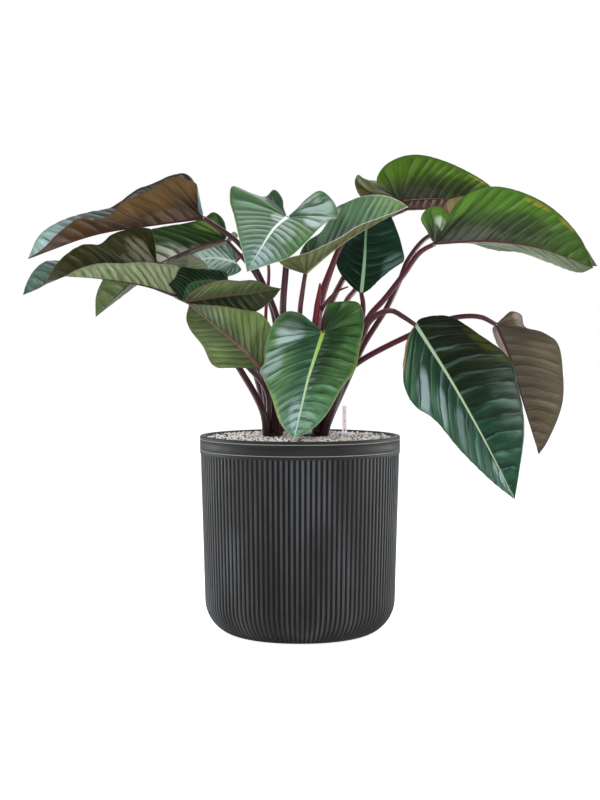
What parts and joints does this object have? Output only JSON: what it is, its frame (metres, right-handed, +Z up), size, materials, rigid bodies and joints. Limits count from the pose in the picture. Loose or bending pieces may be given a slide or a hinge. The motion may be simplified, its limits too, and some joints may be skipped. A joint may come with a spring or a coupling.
{
  "type": "potted red beauty philodendron",
  "caption": "Leafy house plant with large arrow-shaped glossy leaves on dark red stalks, in a round ribbed planter filled with granules under gravel, with a water gauge.",
  "frame": {"origin": "middle of the flat underside of the planter", "axes": "+Z up along the planter's axis, -Y towards the front of the plant, +X to the right"},
  "size_m": [0.9859, 0.6454, 0.8223],
  "materials": {
    "planter": "satin",
    "gravel": "matte",
    "granules": "matte",
    "liner": "matte",
    "clear_plastic": "glossy",
    "marker": "matte",
    "stalk": "satin",
    "leaf": "glossy"
  },
  "bodies": {
    "root": {"planter": "planter", "liner": "liner", "granules": "granules", "gravel": "gravel", "gauge_tube": "clear_plastic", "gauge_collar": "clear_plastic", "gauge_float": "marker", "shoot_right": "stalk", "shoot_left": "stalk", "blade_front": "leaf", "blade_upper_front": "leaf", "blade_boat": "leaf", "blade_upright": "leaf", "blade_top_right": "leaf", "blade_under_top_right": "leaf", "blade_right": "leaf", "blade_behind_right": "leaf", "blade_hanging": "leaf", "blade_far_right": "leaf", "blade_back": "leaf", "blade_top_left": "leaf", "blade_left_tip": "leaf", "blade_left_flat": "leaf", "blade_left_back": "leaf", "blade_left_inner": "leaf", "blade_left_fold": "leaf", "blade_low_tip": "leaf", "blade_low_front": "leaf", "blade_low_dark": "leaf"}
  },
  "joints": []
}
